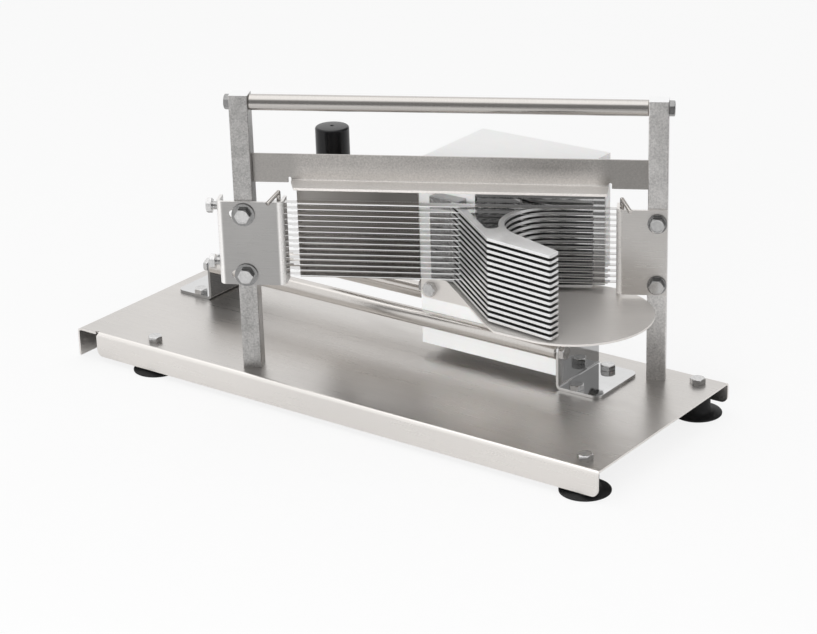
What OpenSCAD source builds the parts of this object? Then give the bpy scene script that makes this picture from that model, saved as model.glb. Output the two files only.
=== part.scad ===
// Tomato slicer: a carriage on two guide rods pushes a fruit through a slanted stack of blades.
// Millimetres, +Z up. Lengths inside the modules count from the middle of the base's top face.

/* [Base] */
// length of the base plate
base_l = 615; // [600:1:660]
// width of the base plate
base_w = 230; // [228:1:270]
// thickness of the base sheet
sheet_t = 2; // [1.5:0.5:3]
// outside radius of the sheet bends
bend_r = 4; // [3.5:0.5:6]
// depth of the front lip
front_lip = 25; // [15:1:27]
// depth of the rear lip
rear_lip = 21; // [15:1:27]
// gap from the left lip down to the table
lip_gap = 1; // [1:0.5:10]
// distance of the long lips' ends from the left end of the base
lip_relief = 25; // [15:1:40]
// distance of the base's right end from the zero of the lengths along it
works_right = 307.5; // [304:0.5:320]

/* [Feet] */
// height of a suction foot
foot_h = 28.5; // [28:0.5:45]
// diameter of a suction cup
foot_d = 47; // [40:1:47]
// diameter of a foot's stem
foot_stem_d = 25; // [20:1:28]
// distance of the left feet from the left end
foot_left = 89.5; // [60:0.5:95]
// distance of the right feet from the right end
foot_right = 23.5; // [23.5:0.5:30]
// distance of the feet from the long edges
foot_inset = 17; // [15:0.5:22]

/* [Fasteners] */
// thread diameter of the large bolts
bolt_d = 8; // [6:0.5:8]
// width across flats of the large heads
bolt_af = 13; // [11:0.5:13]
// height of the large heads
bolt_head = 5.3; // [4:0.1:5.5]
// height of a nut
nut_h = 6.5; // [5:0.5:7]
// thickness of a washer
washer_t = 1.6; // [1:0.1:2.5]
// thread diameter of the small bolts
screw_d = 6; // [4:0.5:6]
// width across flats of the small heads
screw_af = 10; // [8:0.5:10]
// height of the small heads
screw_head = 4; // [3:0.5:4]
// what a plain hole is wider than its bolt
hole_clear = 0.4; // [0.2:0.1:0.8]
// what a threaded hole is wider than its bolt
thread_clear = 0.1; // [0.05:0.05:0.2]

/* [Blade frame] */
// position of the frame's middle along the base, from the zero of those lengths
frame_x = 73.5; // [72:0.5:75]
// angle of the blades to the base
blade_angle = 28; // [27.5:0.1:28.5]
// side of a square post
post_w = 18; // [17:0.5:20]
// height of the posts above the cross plate's bottom
post_over = 85.5; // [78:0.5:120]
// diameter of the top rod
top_rod_d = 15; // [12:1:15]
// depth of the top rod's axis below the posts' tops
top_rod_drop = 8.3; // [8:0.1:20]
// height of the cross plate's bottom above the top blade
cross_gap = 18.1; // [14:0.1:30]
// height of the cross plate
cross_h = 27.8; // [22:0.2:40]
// thickness of the cross plate
cross_t = 2.5; // [2:0.5:3]
// length of the shelf
shelf_l = 295; // [280:1:300]
// depth of the shelf in front of the cross plate
shelf_d = 24; // [15:1:30]
// width cut off the shelf's left front corner
shelf_cut = 6; // [2:0.5:10]

/* [Blades] */
// pitch of the blades
blade_pitch = 5.5; // [5.2:0.1:5.6]
// thickness of a blade
blade_t = 0.6; // [0.4:0.1:0.8]
// width of a blade
blade_w = 11.6; // [10:0.1:12]
// length of a blade's full width
blade_l = 295; // [285:1:300]
// width of a blade's narrow end
tang_w = 6; // [5.5:0.5:8]
// diameter of the pins through the blade ends
pin_d = 4; // [3:0.2:4]
// play between a blade's end and its holder's slot
slot_play = 0.2; // [0.1:0.1:0.4]

/* [Blade holders] */
// gap between a blade's full width and the holders' inner walls
blade_gap = 7.5; // [5:0.5:10]
// distance of the holders' inner walls from the posts
holder_reach = 28.7; // [27:0.1:32]
// what the left holder runs past its post
holder_end = 17.3; // [16:0.1:22]
// what the holders stand above the top blade
holder_over = 1.6; // [1.2:0.1:4]
// what the holders hang below the lowest blade
holder_under = 9.4; // [8:0.1:9.8]
// thickness of the holders' sheet
holder_t = 3; // [2:0.5:4]
// depth of the holders' side walls behind their front
holder_d = 18; // [16:1:20]
// distance of the lower holder bolts from the holders' bottom
holder_bolt_low = 10; // [8:0.5:14]
// distance of the upper holder bolts from the holders' top
holder_bolt_high = 12.5; // [10:0.5:16]
// travel of a slotted holder bolt
holder_slot = 12; // [6:1:16]
// distance of the lower tension bolt from the left holder's bottom
tension_low = 18.5; // [14:0.5:22]
// distance of the upper tension bolt from the left holder's top
tension_high = 8; // [8:0.5:14]

/* [Guide rods] */
// diameter of the guide rods
guide_d = 16; // [14:1:18]
// position of the front guide rod across the base
guide_y = 20; // [16:0.5:22]
// distance between the guide rods
guide_gap = 59; // [57:0.5:62]
// height of the guide rods' axes
guide_z = 36.3; // [30:0.1:38]
// distance of the left bracket's inner face from the base's left end
bracket_end = 66.5; // [60:0.5:69]
// inner face of the right bracket along the base
bracket_right = 181; // [179:1:184]
// thickness of the brackets
bracket_t = 3; // [2:0.5:4]
// height of the brackets
bracket_h = 45; // [44:1:46]
// length of a bracket's foot
bracket_foot = 47; // [44:1:50]
// distance of the bracket's bolts from its inner face
bracket_bolt = 19; // [17:0.5:22]

/* [Carriage] */
// gap between the carriage block at rest and the right bracket
stop_gap = 4; // [2:0.5:6]
// length of the carriage block
block_l = 154.5; // [148:0.5:158]
// height of the block's underside
block_z = 10; // [6:0.5:14]
// height of the block's top
block_top = 82; // [78:0.5:83]
// radial running clearance of the block on the rods
run_clear = 0.08; // [0.03:0.01:0.1]
// length of the cover
cover_l = 145.5; // [138:0.5:150]
// rear face of the cover
cover_rear = 130; // [122:1:140]
// top of the cover
cover_top = 197; // [190:1:205]
// thickness of the cover's walls
cover_wall = 8; // [6:0.5:10]
// distance of the cover's slanted face behind the frame's middle
cover_back = 13; // [12:0.5:16]
// thickness of the polished sheet on the cover's slanted face
back_t = 1.5; // [1:0.5:2]
// height of the polished sheet's upper edge
back_top = 185; // [178:1:188]
// distance of the polished sheet's right end from the blades' end
back_end = 4; // [3:0.5:12]

/* [Pusher comb] */
// gap between the comb and the tray
comb_gap = 1.15; // [0.9:0.05:1.5]
// what the comb's root stands past the outer fins
root_over = 1; // [1:0.1:2]
// thickness of a fin
fin_t = 3; // [2.5:0.1:3.4]
// left end of the comb's root
root_x = 44; // [40:0.5:46]
// length of the comb's root
root_l = 34; // [30:1:38]
// depth of the comb's root
root_d = 13; // [11:0.5:14]
// front corner of a fin along the base
apex_x = 153; // [150:0.5:156]
// front corner of a fin across the base
apex_y = -54.4; // [-56:0.1:-53]
// slant of the fin's arm
arm_angle = 37; // [36:0.5:38]
// width of the fin's arm
arm_w = 7.4; // [6:0.2:8]
// middle of the fruit pocket along the base
pocket_x = 181; // [179:0.5:183]
// middle of the fruit pocket across the base
pocket_y = 10; // [8:0.5:12]
// radius of the fruit pocket
pocket_r = 43.5; // [41:0.5:45]
// width of the wall round the pocket
pocket_wall = 5.5; // [4.5:0.5:6.5]
// slant of the pocket's front side
front_slant = 17; // [15:0.5:19]
// slant of the pocket's rear side
rear_slant = 31.5; // [30:0.5:33]
// length of the rear prong
prong_l = 36; // [26:1:38]
// right end of the front prong
tip_x = 226; // [218:1:228]
// front edge of the front prong at its end
tip_y = -62.9; // [-64:0.1:-61]
// radius at the bottom of a fin's notch
notch_r = 7; // [6.5:0.5:7.5]

/* [Tray] */
// thickness of the tray
tray_t = 2; // [1.5:0.5:2.5]
// middle of the tray's round end along the base
tray_x = 205; // [200:1:206]
// middle of the tray's round end across the base
tray_y = 7; // [5:0.5:8]
// radius of the tray's round end
tray_r = 74; // [70:1:75]
// what the tray stands out past the comb's arm
tray_margin = 3; // [1:0.5:5]
// depth of the tray's front flange
tray_lip = 25.5; // [22:0.5:28]
// what the tray's front flange runs past its right bolt
tray_lip_end = 20; // [12:1:30]

/* [Handle and guard] */
// diameter of the grip
grip_d = 33.5; // [28:0.5:38]
// height of the grip
grip_h = 121.5; // [100:0.5:130]
// position of the grip's axis along the base
grip_x = -101; // [-120:1:-80]
// width of the handle arm
handle_w = 30; // [26:1:36]
// thickness of the handle arm
handle_t = 8; // [6:1:10]
// height of the handle arm's top
handle_z = 80; // [76:1:82]
// what the guard's front stands before the carriage block's corner
guard_step = 1.37; // [1:0.01:1.8]
// length of the guard
guard_l = 116; // [80:1:118]
// height of the guard's lower edge
guard_z = 75; // [70:1:90]
// height of the guard's upper edge
guard_top = 185; // [175:1:190]
// thickness of the guard
guard_t = 2; // [1.5:0.5:2.5]

/* [Hidden] */
$fn = 64;
blade_count = 14;
far = 600;
inch_hex = cos(30);
floor_h = foot_h + sheet_t;
works_x = base_l / 2 - works_right;
tray_top = block_top + tray_t;
blade_low = tray_top + comb_gap + root_over + fin_t / 2 + 1.5 * blade_pitch;
blade_top = blade_low + (blade_count - 1) * blade_pitch;
blade_zs = [for (i = [0:blade_count - 1]) blade_top - i * blade_pitch];
fin_zs = [for (i = [0:blade_count]) blade_top - (i + 0.5) * blade_pitch - fin_t / 2];
left_lip = floor_h - lip_gap;
lip_round = 7;
relief_r = 2;
foot_y = base_w / 2 - foot_inset;
front_reach = max(base_w / 2, foot_y + foot_d / 2);
rear_reach = max(front_reach, cover_rear);
foot_xs = [-base_l / 2 + foot_left, base_l / 2 - foot_right];
foot_bite = 13;
foot_bolt_l = sheet_t + foot_bite;
cup_rim = 3.5;
cup_depth = 6;
holder_in = blade_l / 2 + blade_gap;
post_in = holder_in + holder_reach;
post_x = post_in + post_w / 2;
post_out = post_in + post_w;
holder_l = post_out + holder_end - holder_in;
cross_z = blade_top + cross_gap;
post_h = cross_z + post_over;
post_bolt_l = 20;
top_rod_z = post_h - top_rod_drop;
rod_thread = 15;
cross_bend = 4;
cross_relief = 3;
holder_front = -post_w / 2 - holder_t;
holder_back = holder_front + holder_d + holder_t;
holder_bend = holder_t + 4;
holder_z = blade_low - holder_under;
holder_h = blade_top + holder_over - holder_z;
holder_bolts = [holder_z + holder_bolt_low, holder_z + holder_h - holder_bolt_high];
holder_bolt_l = washer_t + holder_t + post_w - 2;
tension_zs = [holder_z + tension_low, holder_z + holder_h - tension_high];
slot_spare = 2;
slot_x = post_x + holder_slot / 2 - slot_spare;
tension_out = 5.5;
washer_left_d = 22;
washer_right_d = 18;
pin_x = holder_in + holder_t + pin_d / 2 + 0.05;
pin_turn = 32;
pin_droop = 25;
pin_top = holder_z + holder_h + 1.7 * pin_d + 0.6;
pin_arm = 17.6;
blade_y = -post_w / 2;
tang_y = blade_y + 2.8;
tang_mid = tang_y + tang_w / 2;
tang_end = pin_x + pin_d / 2 + 2.6;
guide_ys = [guide_y, guide_y + guide_gap];
bracket_left = base_l / 2 - bracket_end + works_x;
bracket_mid = guide_y + guide_gap / 2;
bracket_w = guide_gap + 12;
bracket_bolts = [guide_y, guide_y + guide_gap - 4];
bracket_bolt_l = bracket_t + sheet_t + nut_h + 2;
groove_r = guide_d / 2 + run_clear;
bolt_bite = 20;
block_x = bracket_right - stop_gap - block_l;
block_y = guide_y + 2;
block_w = guide_gap - 4;
cover_bite = 16;
cover_bolt_in = 11;
cover_bolt_gap = 7.7;
cover_bolt_y = guide_y + guide_d / 2 + cover_bolt_gap;
cover_bolt_x = frame_x + (cover_bolt_y * cos(blade_angle) - cover_back - cover_wall / 2) / sin(blade_angle);
cover_bolts = [[block_x + cover_wall / 2, block_y + cover_bolt_in],
  [block_x + cover_wall / 2, block_y + block_w - cover_bolt_in], [cover_bolt_x, cover_bolt_y]];
cover_bolt_l = tray_top + cover_bite - block_z - screw_head;
sheet_lift = 2;
root_z = fin_zs[blade_count] - root_over;
root_h = fin_zs[0] + fin_t + root_over - root_z;
root_y = block_y - root_d;
comb_bolts = [root_z + 20, root_z + root_h - 20];
comb_bite = 10;
comb_bolt_x = root_x + root_l / 2 - 4;
apex = [apex_x, apex_y];
arm_dir = [cos(arm_angle), -sin(arm_angle)];
arm_side = [sin(arm_angle), cos(arm_angle)];
arm_l = (root_y + 6 - apex_y) / sin(arm_angle);
pocket = [pocket_x, pocket_y];
rear_dir = [cos(rear_slant), sin(rear_slant)];
rear_out = [-sin(rear_slant), cos(rear_slant)];
front_dir = [cos(front_slant), -sin(front_slant)];
rear_touch = pocket + pocket_r * rear_out;
front_touch = pocket - pocket_r * [sin(front_slant), cos(front_slant)];
notch_turn = 220;
notch = pocket + (pocket_r + pocket_wall + notch_r - 0.5) * [cos(notch_turn), sin(notch_turn)];
tip_in = front_touch + front_dir * (tip_x - front_touch[0]) / front_dir[0];
tray_front = tray_y - tray_r;
tray_lip_y = block_y - tray_t;
tray_edge = apex - tray_margin * arm_side;
tray_edge_back = tray_edge - arm_dir * (tray_lip_y - tray_edge[1]) / sin(arm_angle);
tray_x0 = block_x + 1.5;
tray_bolt_in = 12;
tray_bolt_gap = 15.57;
tray_bolts = [tray_x0 + tray_bolt_in, cover_bolt_x + tray_bolt_gap];
tray_lip_l = tray_bolts[1] + tray_lip_end - tray_x0;
tray_bolt_z = block_top - 13;
grip_y = block_y + block_w / 2;
grip_bite = 28;
handle_flange = 42;
handle_bolts = [grip_y - 8, grip_y + 8];
handle_bolt_z = handle_z - handle_t - 11;
guard_back = block_y * cos(blade_angle) + (frame_x - block_x) * sin(blade_angle) - guard_step;
guard_over = 36;
guard_flange = 32;
guard_bolt_in = 18;
guard_bolts = [tray_top + guard_bolt_in, guard_top - guard_bolt_in];
guard_bolt_y = block_y + bolt_bite;

// Frames

// children stand on the base, with its top face's middle as their origin
module place() {
  translate([0, (front_reach - rear_reach) / 2, floor_h]) children();
}

// children stand on the base at the zero of the lengths along it
module on_base() {
  place() translate([works_x, 0, 0]) children();
}

// children stand in the blade frame: X along the blades, Y to the back
module on_frame() {
  on_base() translate([frame_x, 0, 0]) rotate(blade_angle) children();
}

// Shared shapes

// rectangle with all four corners rounded, middle at the origin
module round_rect(w, h, r) {
  square([w - 2 * r, h], center = true);
  square([w, h - 2 * r], center = true);
  for (x = [-1, 1], y = [-1, 1]) translate([x * (w / 2 - r), y * (h / 2 - r)]) circle(r);
}

// tab that grows along +Y from the origin's line, with its two far corners rounded
module tab(w, h, r) {
  translate([-w / 2, 0]) square([w, h - r]);
  translate([-w / 2 + r, 0]) square([w - 2 * r, h]);
  for (x = [-1, 1]) translate([x * (w / 2 - r), h - r]) circle(r);
}

// quarter of a sheet bend, in the first quadrant
module bend(r, t) {
  intersection() {
    difference() {
      circle(r);
      circle(r - t);
    }
    square(r);
  }
}

// hexagon bolt: the head stands on the XY plane, the shank hangs below it
module hex_bolt(d, af, head, l) {
  cylinder(h = head, d = af / inch_hex, $fn = 6);
  translate([0, 0, -l]) cylinder(h = l + head / 2, d = d);
}

// large hexagon bolt with a shank of length l
module big_bolt(l) {
  hex_bolt(bolt_d, bolt_af, bolt_head, l);
}

// small hexagon bolt with a shank of length l
module small_bolt(l) {
  hex_bolt(screw_d, screw_af, screw_head, l);
}

// Base and feet

module base_plate() color([0.78, 0.77, 0.74]) place() difference() {
  union() {
    translate([-base_l / 2 + bend_r, -base_w / 2 + bend_r, -sheet_t])
      cube([base_l - bend_r, base_w - 2 * bend_r, sheet_t]);
    translate([base_l / 2, 0, 0]) {
      mirror([0, 1, 0]) base_lip(front_lip);
      base_lip(rear_lip);
    }
    translate([-base_l / 2 + bend_r, -base_w / 2, -sheet_t]) cube([lip_relief - bend_r, base_w, sheet_t]);
    translate([-base_l / 2 + bend_r, base_w / 2, -bend_r]) rotate([90, 0, 0])
      linear_extrude(base_w) rotate(90) bend(bend_r, sheet_t);
    translate([-base_l / 2, -base_w / 2, -left_lip]) cube([sheet_t, base_w, left_lip - bend_r]);
  }
  for (y = [-1, 1]) translate([-base_l / 2 + lip_relief, y * (base_w / 2 - bend_r / 2), -floor_h / 3])
    cylinder(h = floor_h, r = relief_r);
  for (x = foot_xs, y = [-foot_y, foot_y]) base_hole(x, y);
  translate([works_x, 0, 0]) {
    for (y = bracket_bolts) {
      base_hole(bracket_right + bracket_bolt, y);
      base_hole(-bracket_left - bracket_bolt, y);
    }
    translate([frame_x, 0, 0]) rotate(blade_angle) for (x = [-post_x, post_x]) base_hole(x, 0);
  }
}

// long lip of the base at its +Y edge, from its right end
module base_lip(depth) {
  l = base_l - lip_relief;
  translate([-l, base_w / 2 - bend_r, -bend_r]) rotate([90, 0, 90]) linear_extrude(l) bend(bend_r, sheet_t);
  translate([-l / 2, base_w / 2, -bend_r]) rotate([-90, 0, 0]) translate([0, 0, -sheet_t])
    linear_extrude(sheet_t) tab(l, depth - bend_r, lip_round);
}

module base_hole(x, y) {
  translate([x, y, -2 * sheet_t]) cylinder(h = 3 * sheet_t, d = bolt_d + hole_clear);
}

module suction_foot(x, y) color([0.09, 0.09, 0.1]) place() translate([x, y, -floor_h]) difference() {
  cone_z = 2;
  cone_h = floor_h - max(front_lip, rear_lip) - cone_z - 0.5;
  cone_d = 2 * (foot_inset - sheet_t) - 1;
  cup_r = foot_d / 2 - cup_rim;
  ball_r = (cup_r * cup_r + cup_depth * cup_depth) / (2 * cup_depth);
  union() {
    cylinder(h = cone_z, d = foot_d);
    translate([0, 0, cone_z]) cylinder(h = cone_h, d1 = foot_d, d2 = cone_d);
    cylinder(h = foot_h, d = foot_stem_d);
  }
  translate([0, 0, cup_depth - ball_r]) sphere(ball_r);
  translate([0, 0, floor_h - foot_bolt_l - 1]) cylinder(h = foot_h, d = bolt_d + thread_clear);
}

module foot_front_left() suction_foot(foot_xs[0], -foot_y);

module foot_rear_left() suction_foot(foot_xs[0], foot_y);

module foot_front_right() suction_foot(foot_xs[1], -foot_y);

module foot_rear_right() suction_foot(foot_xs[1], foot_y);

module foot_bolts() color([0.72, 0.72, 0.72]) place() {
  for (x = foot_xs, y = [-foot_y, foot_y]) translate([x, y, 0]) rotate(20) big_bolt(foot_bolt_l);
}

// Blade frame

module post(side) color([0.62, 0.62, 0.6]) on_frame() translate([side * post_x, 0, 0]) difference() {
  linear_extrude(post_h) round_rect(post_w, post_w, 1);
  translate([0, 0, -1]) cylinder(h = post_bolt_l + 2, d = bolt_d + thread_clear);
  translate([-post_w, 0, top_rod_z]) rotate([0, 90, 0]) cylinder(h = 2 * post_w, d = bolt_d + hole_clear);
  for (z = holder_bolts) translate([0, 0, z]) rotate([90, 0, 0])
    cylinder(h = 2 * post_w, d = bolt_d + thread_clear, center = true);
}

module post_left() post(-1);

module post_right() post(1);

module post_bolts() color([0.72, 0.72, 0.72]) on_frame() {
  for (x = [-post_x, post_x]) translate([x, 0, -sheet_t]) rotate([180, 0, 0]) big_bolt(post_bolt_l);
}

module top_rod() color([0.75, 0.75, 0.74]) on_frame() translate([0, 0, top_rod_z]) rotate([0, 90, 0])
  difference() {
    cylinder(h = 2 * post_in, d = top_rod_d, center = true);
    for (z = [-1, 1]) translate([0, 0, z * post_in])
      cylinder(h = 2 * rod_thread, d = bolt_d + thread_clear, center = true);
  }

module top_rod_bolts() color([0.72, 0.72, 0.72]) on_frame() {
  for (side = [-1, 1]) translate([side * post_out, 0, top_rod_z]) rotate([0, side * 90, 0])
    big_bolt(post_w + rod_thread - 2);
}

module cross_plate() color([0.6, 0.6, 0.59]) on_frame() {
  slot_l = shelf_l + 2 * cross_relief;
  translate([0, cross_t / 2, 0]) rotate([90, 0, 0]) linear_extrude(cross_t) difference() {
    translate([-post_in, cross_z]) square([2 * post_in, cross_h]);
    translate([-slot_l / 2, cross_z - 1]) square([slot_l, 1 + cross_bend]);
    for (x = [-1, 1]) translate([x * (slot_l - cross_relief) / 2, cross_z + cross_bend])
      circle(cross_relief / 2);
  }
  difference() {
    translate([-shelf_l / 2, 0, cross_z]) rotate([90, 0, 90]) linear_extrude(shelf_l) {
      translate([cross_t / 2 - cross_bend, cross_bend]) rotate(-90) bend(cross_bend, cross_t);
      translate([-shelf_d, 0]) square([shelf_d + cross_t / 2 - cross_bend, cross_t]);
    }
    translate([-shelf_l / 2, -shelf_d, cross_z - 1]) linear_extrude(cross_t + 2)
      polygon([[-1, -1], [shelf_cut, -1], [shelf_cut, 0], [0, shelf_d - cross_bend], [-1, shelf_d - cross_bend]]);
  }
}

// one blade, k counted from the top
module blade(k) color([0.7, 0.71, 0.72]) on_frame() translate([0, 0, blade_zs[k] - blade_t / 2])
  linear_extrude(blade_t) difference() {
    union() {
      translate([-blade_l / 2, blade_y]) square([blade_l, blade_w]);
      translate([0, tang_mid]) round_rect(2 * tang_end, tang_w, tang_w / 2 - 0.2);
    }
    for (x = [-pin_x, pin_x]) translate([x, tang_mid]) circle(d = pin_d + 0.2);
  }

module blade_01() blade(0);

module blade_02() blade(1);

module blade_03() blade(2);

module blade_04() blade(3);

module blade_05() blade(4);

module blade_06() blade(5);

module blade_07() blade(6);

module blade_08() blade(7);

module blade_09() blade(8);

module blade_10() blade(9);

module blade_11() blade(10);

module blade_12() blade(11);

module blade_13() blade(12);

module blade_14() blade(13);

// bent pin through the blade ends, its top hooked forwards and outwards over the holder's front wall
module blade_pin(side) color([0.55, 0.56, 0.57]) on_frame() translate([side * pin_x, tang_mid, 0]) {
  foot = blade_zs[blade_count - 1] - 4;
  translate([0, 0, foot]) cylinder(h = pin_top - foot, d = pin_d);
  translate([0, 0, pin_top]) {
    sphere(d = pin_d + 0.1);
    rotate([90 + pin_droop, 0, side * pin_turn]) cylinder(h = pin_arm, d = pin_d);
  }
}

module blade_pin_left() blade_pin(-1);

module blade_pin_right() blade_pin(1);

// holder in plan: a front wall from x0 to x1, a wall bent back at x1, and one at x0 if both is true
module holder_plan(x0, x1, both) {
  r = holder_bend;
  xs = both ? x0 + r : x0;
  translate([xs, holder_front]) square([x1 - r - xs, holder_t]);
  holder_wall(x1);
  if (both) translate([x0, 0]) mirror([1, 0]) holder_wall(0);
}

// wall of a holder that ends at x, with its bend to the left
module holder_wall(x) {
  r = holder_bend;
  translate([x - r, holder_front + r]) rotate(-90) bend(r, holder_t);
  translate([x - holder_t, holder_front + r]) square([holder_t, holder_back - holder_front - r]);
}

// slots for the blade ends in the wall that starts at x
module blade_slots(x) {
  for (z = blade_zs) translate([x - 1, tang_y - slot_play, z - blade_t / 2 - slot_play])
    cube([holder_t + 2, tang_w + 2 * slot_play, blade_t + 2 * slot_play]);
}

module holder_left() color([0.74, 0.74, 0.73]) on_frame() difference() {
  translate([0, 0, holder_z]) linear_extrude(holder_h) holder_plan(-holder_in - holder_l, -holder_in, true);
  blade_slots(-holder_in - holder_t);
  for (z = holder_bolts) translate([-slot_x, holder_front + holder_t + 1, z]) rotate([90, 0, 0])
    linear_extrude(holder_t + 2)
      round_rect(bolt_d + hole_clear + holder_slot, bolt_d + hole_clear, (bolt_d + hole_clear) / 2 - 0.01);
  for (z = tension_zs) translate([-holder_in - holder_l - 1, 0, z]) rotate([0, 90, 0])
    cylinder(h = holder_t + 2, d = bolt_d + thread_clear);
}

module holder_right() color([0.74, 0.74, 0.73]) on_frame() difference() {
  translate([0, 0, holder_z]) linear_extrude(holder_h) mirror([1, 0])
    holder_plan(-post_out, -holder_in, false);
  blade_slots(holder_in);
  for (z = holder_bolts) translate([post_x, holder_front, z]) rotate([90, 0, 0])
    cylinder(h = 3 * holder_t, d = bolt_d + hole_clear, center = true);
}

module holder_washers() color([0.76, 0.76, 0.76]) on_frame() for (side = [-1, 1], z = holder_bolts) {
  d = side < 0 ? washer_left_d : washer_right_d;
  translate([side * post_x, holder_front, z]) rotate([90, 0, 0]) difference() {
    cylinder(h = washer_t, d = d);
    translate([0, 0, -1]) cylinder(h = washer_t + 2, d = bolt_d + hole_clear);
  }
}

// bolts that clamp a holder to its post
module holder_bolt_pair(side) color([0.72, 0.72, 0.72]) on_frame() for (z = holder_bolts)
  translate([side * post_x, holder_front - washer_t, z]) rotate([90, 0, 0]) big_bolt(holder_bolt_l);

module holder_bolts_left() holder_bolt_pair(-1);

module holder_bolts_right() holder_bolt_pair(1);

module tension_bolts() color([0.72, 0.72, 0.72]) on_frame() for (z = tension_zs) {
  head_x = holder_in + holder_l + tension_out;
  translate([-head_x, 0, z]) rotate([0, -90, 0]) big_bolt(head_x - post_out);
}

// Guide rods and brackets

// bracket whose wall has its inner face at the YZ plane and whose foot runs to +X
module rod_bracket() color([0.8, 0.8, 0.81]) difference() {
  r = bend_r + bracket_t - sheet_t;
  union() {
    translate([0, bracket_mid, r]) rotate([90, 0, 90]) linear_extrude(bracket_t)
      tab(bracket_w, bracket_h - r, 8);
    translate([r, bracket_mid + bracket_w / 2, r]) rotate([90, 0, 0]) linear_extrude(bracket_w)
      rotate(180) bend(r, bracket_t);
    translate([r, bracket_mid, 0]) rotate(-90) linear_extrude(bracket_t) tab(bracket_w, bracket_foot - r, 8);
  }
  for (y = guide_ys) translate([-1, y, guide_z]) rotate([0, 90, 0])
    cylinder(h = bracket_t + 2, d = bolt_d + hole_clear);
  for (y = bracket_bolts) translate([bracket_bolt, y, -1])
    cylinder(h = bracket_t + 2, d = bolt_d + hole_clear);
}

module bracket_right_plate() on_base() translate([bracket_right, 0, 0]) rod_bracket();

module bracket_left_plate() on_base() translate([-bracket_left, 0, 0]) mirror([1, 0, 0]) rod_bracket();

// children at each bolt through the brackets' feet
module at_bracket_bolts() {
  for (x = [bracket_right + bracket_bolt, -bracket_left - bracket_bolt], y = bracket_bolts)
    on_base() translate([x, y, 0]) children();
}

module bracket_bolts_set() color([0.72, 0.72, 0.72]) at_bracket_bolts()
  translate([0, 0, bracket_t]) rotate(10) big_bolt(bracket_bolt_l);

module bracket_nuts() color([0.72, 0.72, 0.72]) at_bracket_bolts() translate([0, 0, -sheet_t - nut_h])
  difference() {
    cylinder(h = nut_h, d = bolt_af / inch_hex, $fn = 6);
    translate([0, 0, -1]) cylinder(h = nut_h + 2, d = bolt_d + thread_clear);
  }

module guide_rod(y) color([0.8, 0.8, 0.8]) on_base() translate([-bracket_left, y, guide_z]) rotate([0, 90, 0])
  difference() {
    cylinder(h = bracket_left + bracket_right, d = guide_d);
    for (z = [0, bracket_left + bracket_right]) translate([0, 0, z])
      cylinder(h = 2 * rod_thread, d = bolt_d + thread_clear, center = true);
  }

module guide_rod_front() guide_rod(guide_ys[0]);

module guide_rod_rear() guide_rod(guide_ys[1]);

module rod_end_bolts() color([0.72, 0.72, 0.72]) on_base() for (y = guide_ys) {
  l = bracket_t + rod_thread - 2;
  translate([bracket_right + bracket_t, y, guide_z]) rotate([0, 90, 0]) big_bolt(l);
  translate([-bracket_left - bracket_t, y, guide_z]) rotate([0, -90, 0]) big_bolt(l);
}

// Carriage

module carriage_block() color([0.93, 0.93, 0.92]) on_base() difference() {
  translate([block_x, block_y, block_z]) cube([block_l, block_w, block_top - block_z]);
  for (y = guide_ys) translate([block_x - 1, y, guide_z]) rotate([0, 90, 0])
    cylinder(h = block_l + 2, r = groove_r);
  for (p = cover_bolts) translate([p[0], p[1], block_z - 1]) {
    cylinder(h = block_top, d = screw_d + hole_clear);
    cylinder(h = screw_head + 1, d = screw_af / inch_hex + 1);
  }
  for (x = tray_bolts) translate([x, block_y, tray_bolt_z]) rotate([90, 0, 0])
    cylinder(h = 2 * bolt_bite + 4, d = bolt_d + thread_clear, center = true);
  for (y = handle_bolts) translate([block_x, y, handle_bolt_z]) rotate([0, 90, 0])
    cylinder(h = 2 * bolt_bite + 4, d = bolt_d + thread_clear, center = true);
}

// cover in plan, with its left, rear, front and slanted sides moved in by inset
module cover_plan(inset, right) {
  difference() {
    translate([block_x + inset, block_y + inset])
      square([cover_l - inset + right, cover_rear - block_y - 2 * inset]);
    translate([frame_x, 0]) rotate(blade_angle) translate([-far, -far])
      square([2 * far, far + cover_back + inset]);
  }
}

module carriage_cover() color([0.94, 0.94, 0.93]) on_base() difference() {
  translate([0, 0, tray_top]) linear_extrude(cover_top - tray_top) cover_plan(0, 0);
  translate([0, 0, tray_top - 1]) linear_extrude(cover_top - cover_wall - tray_top + 1)
    cover_plan(cover_wall, 10);
  for (p = cover_bolts) translate([p[0], p[1], tray_top - 1])
    cylinder(h = cover_bite + 4, d = screw_d + thread_clear);
  for (z = comb_bolts) translate([comb_bolt_x, block_y - 1, z]) rotate([-90, 0, 0])
    cylinder(h = cover_wall + 2, d = screw_d + hole_clear);
  for (z = guard_bolts) translate([block_x - 1, guard_bolt_y, z]) rotate([0, 90, 0])
    cylinder(h = cover_wall + 2, d = screw_d + thread_clear);
}

module cover_bolts_set() color([0.72, 0.72, 0.72]) on_base() for (p = cover_bolts)
  translate([p[0], p[1], block_z + screw_head]) rotate([180, 0, 0]) small_bolt(cover_bolt_l);

// polished sheet on the cover's slanted face, behind the comb
module back_sheet() color([0.7, 0.7, 0.7]) on_base() translate([0, 0, tray_top + sheet_lift])
  linear_extrude(back_top - tray_top - sheet_lift) intersection() {
    translate([frame_x, 0]) rotate(blade_angle) translate([-far, cover_back - back_t])
      square([far + blade_l / 2 - back_end, back_t]);
    translate([block_x, block_y]) square([far, far]);
  }

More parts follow.
